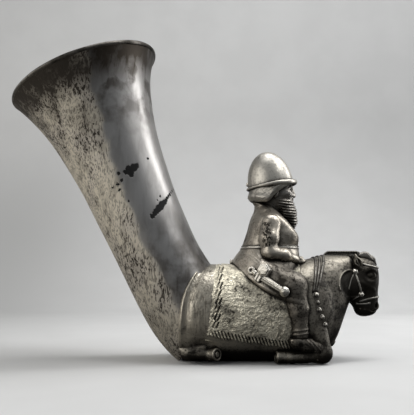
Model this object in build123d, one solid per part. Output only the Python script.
"""A silver drinking horn whose foot is a lying horse with its rider. All sizes are in millimetres.

The horse faces +X, +Z is up, and the vessel rests on Z = 0 below the middle of its outline.
"""
from build123d import *
import math
import os

# Sheet metal and the joints between pieces
SHEET = 1.2
SOLDER_GAP = 0.15
CLOTH_THICKNESS = 0.9
STRAP_THICKNESS = 1.0
BELT_THICKNESS = 0.9
SECTION_POINTS = 12
REACH = 400.0

# Horn: a bent axis, an exponential flare at the mouth and a slight swell at the foot
MOUTH_X = -98.2
MOUTH_Z = 250.9
MOUTH_RADIUS = 67.3
MOUTH_TILT = 22.4
MOUTH_HANDLE = 125.7
BEAD_RADIUS = 2.2
WAIST_RADIUS = 34.2
FLARE_LENGTH = 55.5
FOOT_X = 5.7
FOOT_Z = 36.1
FOOT_TILT = 40.4
FOOT_HANDLE = 41.4
FOOT_SWELL = 3.2
SWELL_LENGTH = 71.4
FOOT_TURN = 9.0
FOOT_PIVOT = 6.0
HORN_STATIONS = (0.0, 0.03, 0.08, 0.15, 0.25, 0.38, 0.52, 0.68, 0.84, 1.0)

# Horse: barrel, haunch edge, chest and neck
BACK_HEIGHT = 82.0
BARREL_HALF_WIDTH = 41.0
BARREL_SQUARENESS = 2.3
BELLY_FLAT = 1.0
HAUNCH_X = -16.0
CHEST_X = 118.0
THROAT_X = 143.0
NECK_HEIGHT = 90.5
NECK_HALF_WIDTH = 14.5
RUMP_EDGE_X = (17.0, -8.5, -11.0)
RUMP_COLLAR = 4.0

# Horse: head, ears, mane and forelock
NOSE_X = 166.6
POLL_HEIGHT = 91.0
MUZZLE_HEIGHT = 37.0
HEAD_HALF_WIDTH = 15.0
HEAD_SHEET = 2.0
EYE_RADIUS = 2.6
EAR_HEIGHT = 9.5
EAR_RADIUS = 3.2
EAR_SPREAD = 9.0
MANE_HEIGHT = 4.2
MANE_HALF_WIDTH = 2.6
MANE_START = 119.0
MANE_LENGTH = 31.6
FORELOCK_RADIUS = 3.7

# Horse: folded legs
LEG_SPREAD = 29.0
KNEE_RADIUS = 7.6
PASTERN_RADIUS = 4.6
HOOF_RADIUS = 5.6
HOOF_FLARE = 1.08
HOOF_LENGTH = 10.0
FOREKNEE_X = 111.0
FOREHOOF_X = 71.5
HOCK_X = -1.0
HINDHOOF_X = 26.5
HIND_LIFT = 3.0

# Harness
CLOTH_REAR_X = 14.6
CLOTH_FRONT_X = 84.0
CLOTH_REAR_HEM = 28.5
CLOTH_FRONT_HEM = 18.0
STRAP_COUNT = 3
STRAP_WIDTH = 2.0
STRAP_PITCH = 3.4
STRAP_TOP_X = 117.0
STRAP_FOOT_X = 104.5
STRAP_FOOT_Z = 60.0
BELL_RADIUS = 2.1
BELL_COUNT = 5
BRIDLE_WIDTH = 2.2
BOSS_RADIUS = 2.4
CHEEKPIECE_RADIUS = 1.2
CHEEKPIECE_LENGTH = 13.0

# Pouring spout, square to the chest low between the forelegs
SPOUT_TIP_X = 126.0
SPOUT_TIP_Z = 13.2
SPOUT_DIP = 36.0
SPOUT_RADIUS = 3.2
SPOUT_BORE = 2.0
SPOUT_LENGTH = 12.0

# Rider: places are measured from the seat, on the horse's back below the middle of the coat
SEAT_X = 67.0
SHOULDER_HEIGHT = 40.0
SHOULDER_HALF_WIDTH = 25.0
HIP_HALF_WIDTH = 31.0
COAT_HALF_DEPTH = 30.0
COAT_SHEET = 1.6
NECK_RADIUS = 9.0
BELT_HEIGHT = 15.0
BELT_WIDTH = 3.2
HEAD_HEIGHT = 70.0
HEAD_AHEAD = 7.0
FACE_HALF_DEPTH = 17.0
FACE_HALF_WIDTH = 14.0
FACE_LENGTH = 44.0
CAP_AHEAD = 5.5
CAP_RISE = 1.5
CAP_HALF_LENGTH = 20.5
CAP_HALF_WIDTH = 17.8
CAP_HEIGHT = 31.0
CAP_TILT = 9.4
CAP_SHEET = 1.4
BRIM_RADIUS = 1.5
FLAP_DROP = 14.0
STUD_RADIUS = 1.9
ARM_RADIUS = 8.2
WRIST_RADIUS = 4.4
FIST_RADIUS = 5.6
KNEE_SPREAD = 37.0
THIGH_RADIUS = 12.5
SHIN_RADIUS = 9.0
ANKLE_RADIUS = 7.0
SHOE_RADIUS = 5.6
SHOE_LENGTH = 25.0

# Dagger on the right thigh: pommel and chape are placed from the seat, in side view
POMMEL_AT = (-13.0, -5.5)
CHAPE_AT = (11.0, -22.0)
DAGGER_RELIEF = 2.4
POMMEL_HALF_WIDTH = 4.4
POMMEL_LENGTH = 2.4
GRIP_HALF_WIDTH = 2.6
HILT_LENGTH = 12.0
SCABBARD_HALF_WIDTH = 3.2
THROAT_LENGTH = 7.5
THROAT_RISE = 3.6
CHAPE_RADIUS = 4.2


def smooth(share):
    """Ease from 0 to 1 without a kink at either end."""
    share = min(max(share, 0.0), 1.0)
    return share * share * (3 - 2 * share)


def section(plane, half_width, up, down, squareness=2.0, seam=-90.0):
    """A smooth closed section, half_width to each side, up above the plane's origin and down below it.

    Its outline starts at the seam's angle, which is kept clear of the joints with other pieces.
    """
    outline = []
    for step in range(SECTION_POINTS):
        turn = math.radians(seam) + 2 * math.pi * step / SECTION_POINTS
        side = math.cos(turn)
        rise = math.sin(turn)
        across = half_width * math.copysign(abs(side) ** (2 / squareness), side)
        height = math.copysign(abs(rise) ** (2 / squareness), rise) * (up if rise > 0 else down)
        outline.append((across, height))
    return plane * make_face(Spline(*outline, periodic=True))


def level_section(x, z, half_depth, half_width, seam=-60.0):
    """A level section with its half sizes along the object and across it."""
    return section(Plane(origin=(x, 0, z), x_dir=(0, 1, 0)), half_width, half_depth, half_depth, seam=seam)


def limb(joints, grow=0.0):
    """A limb of round sections: each joint is a point and its radius."""
    solid = None
    for (start, start_radius), (end, end_radius) in zip(joints, joints[1:]):
        way = Vector(*end) - Vector(*start)
        first = Plane(start, z_dir=way) * Circle(start_radius + grow)
        last = Plane(end, z_dir=way) * Circle(end_radius + grow)
        piece = loft([first, last]) + Pos(*end) * Sphere(end_radius + grow)
        if solid is None:
            solid = Pos(*start) * Sphere(start_radius + grow)
        solid = solid + piece
    return solid


def side_slab(*outline):
    """A prism right across the object with the given outline in side view."""
    face = Plane.XZ * make_face(Polyline(*outline, close=True))
    return extrude(face, amount=REACH, both=True)


def strip(start, end, width):
    """A straight strip in side view, right across the object."""
    along = Vector(end[0] - start[0], end[1] - start[1]).normalized()
    off = Vector(-along.Y, along.X) * (width / 2)
    return side_slab(
        (start[0] + off.X, start[1] + off.Y),
        (end[0] + off.X, end[1] + off.Y),
        (end[0] - off.X, end[1] - off.Y),
        (start[0] - off.X, start[1] - off.Y),
    )


def on_side(shape, x, z, side=-1):
    """The outermost point of a shape on one side, at a place in side view."""
    line = Axis((x, side * REACH, z), (0, -side, 0))
    hits = [point for solid in shape.solids() for point, _ in solid.find_intersection_points(line)]
    return max(hits, key=lambda point: side * point.Y)


def largest(shape):
    """The largest solid of a cut shape, without offcuts."""
    return max(shape.solids(), key=lambda solid: solid.volume)


def cut(raw, *carriers):
    """A piece cut to what carries it."""
    for carrier in carriers:
        raw = raw - carrier
    return largest(raw)


def button(spot, radius):
    """A ball at a spot on a side, with its pole turned outward."""
    return Pos(*spot) * Rot(90, 0, 0) * Sphere(radius)


def above_ground(shape):
    """The shape with its underside cut flat where the vessel rests."""
    return shape - Pos(0, 0, -REACH / 2) * Box(3 * REACH, REACH, REACH)


def mirrored(shape):
    """The same piece on the other side of the horse."""
    return mirror(shape, about=Plane.XZ)


def pair(shape):
    """A piece and its like on the other side, as one group."""
    return Compound(children=[shape, mirrored(shape)])


# Horn
def tilt_direction(tilt):
    """Along the horn, from its mouth to its foot, where its section has this tilt."""
    turn = math.radians(tilt)
    return Vector(math.sin(turn), 0, -math.cos(turn))


mouth_centre = Vector(MOUTH_X, 0, MOUTH_Z)
foot_centre = Vector(FOOT_X, 0, FOOT_Z)
mouth_way = tilt_direction(MOUTH_TILT)
foot_way = tilt_direction(FOOT_TILT)
horn_axis = Bezier(
    mouth_centre,
    mouth_centre + mouth_way * MOUTH_HANDLE,
    foot_centre - foot_way * FOOT_HANDLE,
    foot_centre,
)


def horn_section(distance, inset):
    """The horn's section at a distance along its axis, straight on above the mouth."""
    share = max(distance / horn_axis.length, 0.0)
    above = min(distance, 0.0)
    way = horn_axis % share
    flare = (MOUTH_RADIUS - WAIST_RADIUS) * math.exp(-distance / FLARE_LENGTH)
    swell = FOOT_SWELL * smooth(1 - (horn_axis.length - distance) / SWELL_LENGTH)
    radius = WAIST_RADIUS + flare - inset
    plane = Plane(horn_axis @ share + way * above, x_dir=(0, 1, 0), z_dir=way)
    return section(plane, radius, radius + swell, radius + swell)


def foot_section(inset):
    """The horn's last section, turned about a pivot above it so that the horn bends to the level."""
    half_height = WAIST_RADIUS + FOOT_SWELL
    pivot = foot_centre + Vector(-foot_way.Z, 0, foot_way.X) * (half_height + FOOT_PIVOT)
    plane = Plane(foot_centre, x_dir=(0, 1, 0), z_dir=foot_way)
    end = section(plane, WAIST_RADIUS - inset, half_height - inset, half_height - inset)
    return end.rotate(Axis(pivot, (0, -1, 0)), FOOT_TURN)


def horn_solid(inset, above_mouth=0.0):
    """The horn as one solid, inset from its outside, with some length added above the mouth."""
    sections = [horn_section(share * horn_axis.length, inset) for share in HORN_STATIONS]
    if above_mouth:
        sections.insert(0, horn_section(-above_mouth, inset))
    return loft(sections + [foot_section(inset)])


rim_plane = Plane(mouth_centre, z_dir=-mouth_way)
rim_radius = MOUTH_RADIUS - BEAD_RADIUS
rim_bead = rim_plane * Torus(rim_radius, BEAD_RADIUS)
rim_seat = rim_plane * Torus(rim_radius, BEAD_RADIUS + SOLDER_GAP)
rising = (Align.CENTER, Align.CENTER, Align.MIN)
above_mouth = rim_plane.offset(-BEAD_RADIUS / 2) * Cylinder(2 * MOUTH_RADIUS, REACH, align=rising)


# Horse body: place, top, bottom and half width of each section
floor = -BELLY_FLAT
body_stations = (
    (HAUNCH_X, BACK_HEIGHT - 6, floor + 4, BARREL_HALF_WIDTH - 5),
    (HAUNCH_X + 16, BACK_HEIGHT, floor, BARREL_HALF_WIDTH - 1),
    (HAUNCH_X + 42, BACK_HEIGHT + 0.5, floor, BARREL_HALF_WIDTH),
    (HAUNCH_X + 72, BACK_HEIGHT - 1, floor, BARREL_HALF_WIDTH),
    (CHEST_X - 33, BACK_HEIGHT + 0.5, floor, BARREL_HALF_WIDTH - 1.5),
    (CHEST_X - 13, NECK_HEIGHT - 3, floor + 2, BARREL_HALF_WIDTH - 5),
    (CHEST_X, NECK_HEIGHT, floor + 8.5, NECK_HALF_WIDTH + 15),
    (THROAT_X - 16, NECK_HEIGHT, floor + 19, NECK_HALF_WIDTH + 9.5),
    (THROAT_X - 9, NECK_HEIGHT, floor + 36, NECK_HALF_WIDTH + 4),
    (THROAT_X - 4, NECK_HEIGHT, floor + 48, NECK_HALF_WIDTH),
    (THROAT_X, NECK_HEIGHT - 1, floor + 55, NECK_HALF_WIDTH - 3),
)


def body_section(station, inset, floor_inset):
    """One section of the body, inset from its outside."""
    x, top, bottom, half_width = station
    half_height = (top - bottom) / 2 - inset
    plane = Plane(origin=(x, 0, (top + bottom) / 2), x_dir=(0, 1, 0), z_dir=(1, 0, 0))
    return section(plane, half_width - inset, half_height, half_height - floor_inset, BARREL_SQUARENESS)


def body_solid(inset, floor_inset=0.0, end=0.0):
    """The horse's body as one solid, inset from its outside and shortened at the throat."""
    stations = [list(station) for station in body_stations]
    stations[-1][0] -= end
    return loft([body_section(station, inset, floor_inset) for station in stations])


def behind_rump(ahead):
    """Everything behind the rounded rear edge of the haunches, moved ahead."""
    top = (RUMP_EDGE_X[0] + ahead, BACK_HEIGHT + 10)
    middle = (RUMP_EDGE_X[1] + ahead, BACK_HEIGHT * 0.58)
    foot = (RUMP_EDGE_X[2] + ahead, -4)
    corners = Polyline(foot, (-REACH, foot[1]), (-REACH, top[1]), top)
    return extrude(Plane.XZ * make_face(ThreePointArc(top, middle, foot) + corners), amount=REACH, both=True)


body_outer = above_ground(body_solid(0)) - behind_rump(0)
body_cavity = body_solid(SHEET, BELLY_FLAT, end=SHEET) - behind_rump(RUMP_COLLAR)
body_seat = body_solid(-SOLDER_GAP)

spout_tip = Vector(SPOUT_TIP_X, 0, SPOUT_TIP_Z)
spout_way = tilt_direction(90 - SPOUT_DIP)
spout_plane = Plane(spout_tip - spout_way * SPOUT_LENGTH, z_dir=spout_way)
spout_bore = spout_plane * Cylinder(SPOUT_BORE, SPOUT_LENGTH, align=rising)
spout = spout_plane * Cylinder(SPOUT_RADIUS, SPOUT_LENGTH, align=rising) - spout_bore
spout_hole = spout_plane * Cylinder(SPOUT_RADIUS + SOLDER_GAP, SPOUT_LENGTH, align=rising)
horse_body = cut(body_outer, body_cavity, horn_solid(-SOLDER_GAP), spout_hole)
horn = cut(horn_solid(0), horn_solid(SHEET, 3 * BEAD_RADIUS), body_cavity, above_mouth, rim_seat)

# Horse head: height share from muzzle to poll, set-back of the nose, half depth and share of the width
head_stations = (
    (0.02, 5.5, 8.0, 0.40),
    (0.13, 2.2, 10.0, 0.60),
    (0.30, 0.8, 12.2, 0.72),
    (0.48, 0.2, 15.8, 0.94),
    (0.68, 0.0, 16.5, 1.0),
    (0.84, 1.8, 13.0, 0.86),
    (0.94, 5.5, 9.0, 0.66),
    (1.0, 9.0, 5.5, 0.46),
)


def head_solid(inset):
    """The horse's head, from its muzzle to its poll, inset from its outside."""
    length = POLL_HEIGHT - MUZZLE_HEIGHT - 2 * inset
    sections = []
    for share, set_back, half_depth, width in head_stations:
        z = MUZZLE_HEIGHT + inset + share * length
        x = NOSE_X - set_back - half_depth
        sections.append(level_section(x, z, half_depth - inset, HEAD_HALF_WIDTH * width - inset))
    return loft(sections)


head_outer = head_solid(0)
head_seat = head_solid(-SOLDER_GAP)
eye_at = (NOSE_X - 10.5, POLL_HEIGHT - 18)
eye = button(on_side(head_outer, *eye_at), EYE_RADIUS)
horse_head = cut(head_outer + eye + mirrored(eye), head_solid(HEAD_SHEET), body_seat)

ear_base = Vector(NOSE_X - 21, -EAR_SPREAD, POLL_HEIGHT - 9.5)
ear_way = Vector(-1.5, -1.0, EAR_HEIGHT)
ear_stations = ((-0.1, 0.8), (0.1, 0.92), (0.35, 1.0), (0.65, 0.75), (0.9, 0.35), (1.0, 0.12))
ear_sections = [
    Plane(ear_base + ear_way * share, z_dir=ear_way) * Ellipse(EAR_RADIUS * width, EAR_RADIUS * width * 0.7)
    for share, width in ear_stations
]
ear_right = cut(loft(ear_sections), head_seat, body_seat)

mane_top = NECK_HEIGHT + MANE_HEIGHT
mane_foot = NECK_HEIGHT - 8
mane_end = MANE_START + MANE_LENGTH
mane_side = Polyline(
    (MANE_START, mane_foot),
    (mane_end, mane_foot),
    (mane_end, mane_top - 1),
    (mane_end - 3, mane_top),
    (MANE_START + 5, mane_top),
    (MANE_START, NECK_HEIGHT),
    close=True,
)
mane_raw = extrude(Plane.XZ * make_face(mane_side), amount=MANE_HALF_WIDTH, both=True)
mane = cut(mane_raw, body_seat, head_seat)

lock_start = mane_end + SOLDER_GAP
lock_route = (
    (lock_start, mane_top - 4.2, 0.8),
    (lock_start + 5.5, mane_top - 4.4, 1.0),
    (lock_start + 11, mane_top - 7, 0.75),
    (NOSE_X - 2.6, mane_top - 11.5, 0.35),
)
lock_path = Spline(*[(x, 0, z) for x, z, _ in lock_route], tangents=[(1, 0, 0), (0.5, 0, -1)])
lock_sections = []
for number, (_, _, width) in enumerate(lock_route):
    along = number / (len(lock_route) - 1)
    plane = Plane(lock_path @ along, x_dir=(0, 1, 0), z_dir=lock_path % along)
    lock_sections.append(plane * Circle(FORELOCK_RADIUS * width))
forelock = cut(loft(lock_sections), head_seat, body_seat)

# Folded legs
foreleg_joints = (
    ((FOREKNEE_X - 8, 3 - LEG_SPREAD, BACK_HEIGHT / 2), KNEE_RADIUS + 4),
    ((FOREKNEE_X, -LEG_SPREAD, KNEE_RADIUS), KNEE_RADIUS),
    ((FOREHOOF_X + HOOF_LENGTH + 2, -LEG_SPREAD - 1.5, HOOF_RADIUS), PASTERN_RADIUS),
)
hind_z = HOOF_RADIUS + HIND_LIFT
hindleg_joints = (
    ((HOCK_X, 2 - LEG_SPREAD, hind_z), KNEE_RADIUS),
    ((HINDHOOF_X - HOOF_LENGTH - 2, -LEG_SPREAD - 1.5, hind_z), PASTERN_RADIUS),
)
hoof_stations = ((-0.3, 0.8), (0, 0.86), (0.7, 1.0), (1.0, HOOF_FLARE))


def hoof(sole_x, z, way):
    """A hoof that widens to its sole."""
    plane = Plane(origin=(sole_x - way * HOOF_LENGTH, -LEG_SPREAD - 1.5, z), z_dir=(way, 0, 0))
    rings = []
    for share, width in hoof_stations:
        rings.append(plane.offset(HOOF_LENGTH * share) * Circle(HOOF_RADIUS * width))
    return loft(rings)


foreleg_raw = limb(foreleg_joints) + hoof(FOREHOOF_X, HOOF_RADIUS * HOOF_FLARE, -1)
foreleg_right = cut(foreleg_raw, body_seat)
hindleg_raw = limb(hindleg_joints) + hoof(HINDHOOF_X, hind_z, 1)
hindleg_right = cut(hindleg_raw, body_seat)

# Harness on the body
above_back = BACK_HEIGHT + 20
cloth_side = side_slab(
    (CLOTH_REAR_X + 9.4, above_back),
    (CLOTH_REAR_X, CLOTH_REAR_HEM),
    (CLOTH_FRONT_X, CLOTH_FRONT_HEM),
    (CLOTH_FRONT_X + 14, above_back),
)
cloth_top = CLOTH_THICKNESS + SOLDER_GAP
saddle_cloth = cut(body_solid(-cloth_top) & cloth_side, body_seat)
cloth_seat = body_solid(-cloth_top - SOLDER_GAP)

strap_block = body_solid(-STRAP_THICKNESS - SOLDER_GAP)
straps = []
for number in range(STRAP_COUNT):
    shift = STRAP_PITCH * (number - (STRAP_COUNT - 1) / 2)
    band = strip((STRAP_TOP_X + shift, above_back), (STRAP_FOOT_X + shift, STRAP_FOOT_Z), STRAP_WIDTH)
    straps.append(cut(strap_block & band, body_seat))
neck_straps = Compound(children=straps)

bell_route = Spline(
    (STRAP_FOOT_X + 0.5, STRAP_FOOT_Z - 4),
    (STRAP_FOOT_X + 3, BACK_HEIGHT / 2 + 4),
    (STRAP_FOOT_X + 8, BACK_HEIGHT / 2 - 9),
)
bells = []
for number in range(BELL_COUNT):
    spot = bell_route @ (number / (BELL_COUNT - 1))
    ball = button(on_side(body_outer, spot.X, spot.Y), BELL_RADIUS)
    bell = cut(ball, body_seat, limb(foreleg_joints, SOLDER_GAP))
    bells += [bell, mirrored(bell)]
collar_bells = Compound(children=bells)

# Bridle
brow_at = (NOSE_X - 23, POLL_HEIGHT - 15)
bit_at = (NOSE_X - 18, MUZZLE_HEIGHT + 19)
bridle_block = head_solid(-STRAP_THICKNESS - SOLDER_GAP)
boss_seat = head_solid(-STRAP_THICKNESS - 2 * SOLDER_GAP)
noseband = strip((NOSE_X - 40, bit_at[1] - 5), (NOSE_X + 10, bit_at[1] + 3), BRIDLE_WIDTH)
cheek_strap = strip(brow_at, bit_at, BRIDLE_WIDTH)
browband = strip(brow_at, (NOSE_X + 10, brow_at[1] + 5), BRIDLE_WIDTH)
bridle_straps = cut(bridle_block & (noseband + cheek_strap + browband), head_seat, body_seat)
bosses = []
for x, z in (brow_at, bit_at):
    boss = cut(button(on_side(bridle_block, x, z), BOSS_RADIUS), boss_seat, body_seat)
    bosses += [boss, mirrored(boss)]
bridle_bosses = Compound(children=bosses)
bar_middle = on_side(head_outer, NOSE_X - 16, MUZZLE_HEIGHT + 8.5)
bar = Plane(bar_middle, z_dir=(1, 0.12, 0.1)) * Cylinder(CHEEKPIECE_RADIUS, CHEEKPIECE_LENGTH)
bit_cheekpieces = pair(cut(bar, head_seat))

# Rider's coat: height over the seat, place along the horse, half depth and half width of each section
coat_stations = (
    (-38, 4.0, COAT_HALF_DEPTH - 3, HIP_HALF_WIDTH + 11.5),
    (-22, 1.0, COAT_HALF_DEPTH - 1.5, HIP_HALF_WIDTH + 10),
    (-8, -0.5, COAT_HALF_DEPTH - 0.5, HIP_HALF_WIDTH + 6),
    (2, 0.0, COAT_HALF_DEPTH, HIP_HALF_WIDTH),
    (BELT_HEIGHT, 3.8, COAT_HALF_DEPTH - 4.5, SHOULDER_HALF_WIDTH),
    (SHOULDER_HEIGHT - 10, 6.8, COAT_HALF_DEPTH - 8.2, SHOULDER_HALF_WIDTH),
    (SHOULDER_HEIGHT, 6.0, COAT_HALF_DEPTH - 11, SHOULDER_HALF_WIDTH - 1),
    (SHOULDER_HEIGHT + 8, 4.0, NECK_RADIUS + 4, NECK_RADIUS + 7),
    (SHOULDER_HEIGHT + 15, 2.5, NECK_RADIUS + 2.5, NECK_RADIUS + 1),
    (SHOULDER_HEIGHT + 22, 3.5, NECK_RADIUS + 1, NECK_RADIUS),
)


def coat_solid(inset):
    """The rider's coat and neck as one solid, inset from its outside."""
    sections = []
    for height, place, half_depth, half_width in coat_stations:
        x = SEAT_X + place
        sections.append(level_section(x, BACK_HEIGHT + height, half_depth - inset, half_width - inset, 60.0))
    return loft(sections)


below_hem = side_slab(
    (SEAT_X - 60, BACK_HEIGHT + 24),
    (SEAT_X + 20, BACK_HEIGHT - 34),
    (SEAT_X + 20, -20),
    (SEAT_X - 60, -20),
)
coat_outer = coat_solid(0)
coat_seat = coat_solid(-SOLDER_GAP)
rider_torso = cut(coat_outer - below_hem, coat_solid(COAT_SHEET), cloth_seat)

elbow = (SEAT_X + 1, -SHOULDER_HALF_WIDTH - 3.5, BACK_HEIGHT + 8)
arm_joints = (
    ((SEAT_X + 3, 3 - SHOULDER_HALF_WIDTH, BACK_HEIGHT + SHOULDER_HEIGHT - 4), ARM_RADIUS),
    (elbow, ARM_RADIUS * 0.82),
    ((SEAT_X + 22, -16, BACK_HEIGHT + 4.5), WRIST_RADIUS),
    ((SEAT_X + 29, -9, BACK_HEIGHT + 2.5), FIST_RADIUS),
)
arm_right = cut(limb(arm_joints), coat_seat, cloth_seat)
arm_seat = limb(arm_joints, SOLDER_GAP)

belt_slab = Pos(SEAT_X, 0, BACK_HEIGHT + BELT_HEIGHT) * Box(REACH, REACH, BELT_WIDTH)
belt_ring = (coat_solid(-BELT_THICKNESS - SOLDER_GAP) & belt_slab) - coat_seat
belt_parts = (belt_ring - arm_seat - mirrored(arm_seat)).solids()
rider_belt = Compound(children=list(belt_parts))

# Rider's head, beard and cap: share of the face length, place ahead, shares of half depth and half width
face_top = BACK_HEIGHT + HEAD_HEIGHT
face_x = SEAT_X + HEAD_AHEAD
face_stations = (
    (-0.55, 6.5, 0.38, 0.50),
    (-0.40, 4.0, 0.70, 0.76),
    (-0.20, 2.0, 0.93, 0.94),
    (0.0, 0.6, 1.0, 1.0),
    (0.22, 0.0, 0.97, 0.98),
    (0.40, -0.5, 0.72, 0.78),
)
beard_stations = (
    (-0.27, 12.5, 0.36, 0.72),
    (-0.42, 13.5, 0.36, 0.66),
    (-0.60, 15.0, 0.30, 0.50),
    (-0.80, 16.5, 0.15, 0.24),
)


def face_solid(stations, grow=0.0):
    """A solid of level sections placed from the rider's face."""
    sections = []
    for share, ahead, depth, width in stations:
        z = face_top + FACE_LENGTH * share
        half_depth = FACE_HALF_DEPTH * depth + grow
        sections.append(level_section(face_x + ahead, z, half_depth, FACE_HALF_WIDTH * width + grow))
    return loft(sections)


nose_joints = (
    ((face_x + FACE_HALF_DEPTH - 2.5, 0, face_top + 2), 1.8),
    ((face_x + FACE_HALF_DEPTH - 0.5, 0, face_top - 6), 2.9),
)
face_seat = face_solid(face_stations, SOLDER_GAP)
rider_head = cut(face_solid(face_stations) + limb(nose_joints), coat_seat)
rider_beard = cut(face_solid(beard_stations), face_seat, coat_seat)

cap_plane = Plane(origin=(SEAT_X + CAP_AHEAD, 0, face_top + CAP_RISE)).rotated((0, -CAP_TILT, 0))


def dome(inset):
    """The cap's egg-shaped dome above its brim, inset from its outside."""
    egg = scale(Sphere(1), by=(CAP_HALF_LENGTH - inset, CAP_HALF_WIDTH - inset, CAP_HEIGHT - inset))
    return cap_plane * (egg & Pos(0, 0, REACH / 2) * Box(REACH, REACH, REACH))


rider_cap = cut(dome(0), dome(CAP_SHEET), face_seat)
brim_out = BRIM_RADIUS + SOLDER_GAP
brim_path = cap_plane * Ellipse(CAP_HALF_LENGTH + brim_out, CAP_HALF_WIDTH + brim_out).edge()
brim_start = Plane(brim_path @ 0, z_dir=brim_path % 0)
cap_brim = largest(sweep(brim_start * Circle(BRIM_RADIUS), path=brim_path))

cap_x = SEAT_X + CAP_AHEAD
flap_stations = (
    (-FLAP_DROP, -1.8, -0.6, -1.0),
    (-FLAP_DROP * 0.5, -1.2, 0.2, 0.0),
    (CAP_RISE + 2 * BRIM_RADIUS, 0.6, 0.0, 0.0),
)
flap_sections = [
    level_section(cap_x + ahead, face_top + drop, CAP_HALF_LENGTH + depth, CAP_HALF_WIDTH + width)
    for drop, ahead, depth, width in flap_stations
]
flap_front = side_slab(
    (face_x - 2, face_top + 25),
    (face_x - 9, face_top - FLAP_DROP - 5),
    (face_x + 60, face_top - FLAP_DROP - 5),
    (face_x + 60, face_top + 25),
)
brim_level = cap_plane.offset(-brim_out) * Cylinder(3 * CAP_HALF_LENGTH, REACH, align=rising)
cap_neck_flap = cut(loft(flap_sections), flap_front, brim_level, face_seat, coat_seat)

stud_spot = cap_plane.from_local_coords((-CAP_HALF_LENGTH, 0, brim_out + STUD_RADIUS))
cap_stud = cut(Pos(*stud_spot) * Rot(0, 90, 0) * Sphere(STUD_RADIUS), dome(-SOLDER_GAP))
coat_stud_spot = Pos(SEAT_X - COAT_HALF_DEPTH - 0.5, 0, BACK_HEIGHT + 2.4)
coat_stud = cut(coat_stud_spot * Rot(0, 90, 0) * Sphere(STUD_RADIUS + 0.6), coat_seat, cloth_seat)

# Rider's legs
ankle = (SEAT_X + 24, -KNEE_SPREAD, BACK_HEIGHT - 57)
leg_joints = (
    ((SEAT_X - 2, 13 - KNEE_SPREAD, BACK_HEIGHT - 8), THIGH_RADIUS),
    ((SEAT_X + 20, -KNEE_SPREAD, BACK_HEIGHT - 20), THIGH_RADIUS - 1),
    ((SEAT_X + 22, -KNEE_SPREAD - 0.5, BACK_HEIGHT - 38), SHIN_RADIUS),
    (ankle, ANKLE_RADIUS),
)
shoe_joints = (
    ((ankle[0] - 3, ankle[1], ankle[2] - 5.5), SHOE_RADIUS + 1.2),
    ((ankle[0] + 6, ankle[1] + 1.0, ankle[2] - 9), SHOE_RADIUS),
    ((ankle[0] + SHOE_LENGTH - 6, ankle[1] + 3.0, ankle[2] - 12), SHOE_RADIUS * 0.62),
)


def below_ankle(drop):
    """Everything below a level just under the ankle."""
    return Pos(0, 0, ankle[2] - drop - REACH / 2) * Box(3 * REACH, REACH, REACH)


foreleg_seat = limb(foreleg_joints, SOLDER_GAP)
coat_clearance = coat_solid(-2 * SOLDER_GAP)
leg_right = cut(limb(leg_joints), below_ankle(3), coat_clearance, cloth_seat, foreleg_seat, arm_seat)
shoe_right = cut(limb(shoe_joints) & below_ankle(3 + SOLDER_GAP), cloth_seat, foreleg_seat)

# Dagger and scabbard, laid on the thigh
thigh_seat = limb(leg_joints, SOLDER_GAP)
thigh_side = coat_seat + thigh_seat
pommel_spot = on_side(thigh_side, SEAT_X + POMMEL_AT[0], BACK_HEIGHT + POMMEL_AT[1])
chape_spot = on_side(thigh_side, SEAT_X + CHAPE_AT[0], BACK_HEIGHT + CHAPE_AT[1])
dagger_way = chape_spot - pommel_spot
dagger_length = dagger_way.length
right_side = Vector(0, -1, 0)
outward = right_side - dagger_way * (dagger_way.dot(right_side) / dagger_length**2)
dagger_plane = Plane(origin=pommel_spot, x_dir=dagger_way, z_dir=outward)
hilt_outline = Polyline(
    (0, -POMMEL_HALF_WIDTH),
    (POMMEL_LENGTH, -GRIP_HALF_WIDTH),
    (HILT_LENGTH, -GRIP_HALF_WIDTH),
    (HILT_LENGTH, GRIP_HALF_WIDTH),
    (POMMEL_LENGTH, GRIP_HALF_WIDTH),
    (0, POMMEL_HALF_WIDTH),
    close=True,
)
throat_start = HILT_LENGTH + SOLDER_GAP
throat_end = throat_start + THROAT_LENGTH
throat_top = SCABBARD_HALF_WIDTH + THROAT_RISE
scabbard_outline = Polyline(
    (throat_start, -SCABBARD_HALF_WIDTH),
    (throat_start, SCABBARD_HALF_WIDTH),
    (throat_start + THROAT_LENGTH / 4, throat_top),
    (throat_end - THROAT_LENGTH / 4, throat_top),
    (throat_end, SCABBARD_HALF_WIDTH),
    (dagger_length, SCABBARD_HALF_WIDTH * 0.7),
    (dagger_length, -SCABBARD_HALF_WIDTH * 0.7),
    close=True,
)


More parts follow.
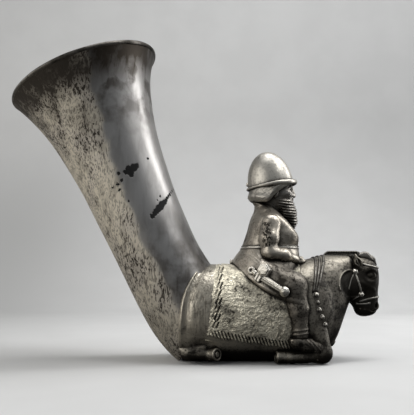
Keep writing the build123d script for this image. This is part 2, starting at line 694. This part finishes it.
def on_thigh(raw):
    """A flat piece of the dagger laid on the thigh and cut to it."""
    return cut(dagger_plane * raw, coat_seat, thigh_seat, cloth_seat)


chape_spot_flat = Pos(dagger_length, 0, 0)
chape_hole = chape_spot_flat * Cylinder(CHAPE_RADIUS + SOLDER_GAP, 4 * DAGGER_RELIEF)
scabbard_raw = extrude(make_face(scabbard_outline), amount=DAGGER_RELIEF, both=True)
dagger_hilt = on_thigh(extrude(make_face(hilt_outline), amount=DAGGER_RELIEF, both=True))
scabbard = on_thigh(scabbard_raw - chape_hole)
scabbard_chape = on_thigh(chape_spot_flat * Cylinder(CHAPE_RADIUS, 2 * DAGGER_RELIEF))

nodes = {
    "horn": horn,
    "rim_bead": rim_bead,
    "spout": spout,
    "horse_body": horse_body,
    "horse_head": horse_head,
    "mane": mane,
    "forelock": forelock,
    "saddle_cloth": saddle_cloth,
    "neck_straps": neck_straps,
    "collar_bells": collar_bells,
    "bridle_straps": bridle_straps,
    "bridle_bosses": bridle_bosses,
    "bit_cheekpieces": bit_cheekpieces,
    "rider_torso": rider_torso,
    "rider_belt": rider_belt,
    "rider_head": rider_head,
    "rider_beard": rider_beard,
    "rider_cap": rider_cap,
    "cap_brim": cap_brim,
    "cap_neck_flap": cap_neck_flap,
    "cap_stud": cap_stud,
    "coat_stud": coat_stud,
    "dagger_hilt": dagger_hilt,
    "scabbard": scabbard,
    "scabbard_chape": scabbard_chape,
}
for name, right in (
    ("horse_ear", ear_right),
    ("foreleg", foreleg_right),
    ("hindleg", hindleg_right),
    ("rider_arm", arm_right),
    ("rider_leg", leg_right),
    ("rider_shoe", shoe_right),
):
    nodes[f"{name}_right"] = right
    nodes[f"{name}_left"] = mirrored(right)

# The vessel's outline is centred over the origin
boxes = [shape.bounding_box() for shape in nodes.values()]
middle = (min(box.min.X for box in boxes) + max(box.max.X for box in boxes)) / 2
print(f"middle of the outline at X = {middle:.3f}")
os.makedirs("parts", exist_ok=True)
for name, shape in nodes.items():
    export_step(Pos(-middle, 0, 0) * shape, f"parts/{name}.step")
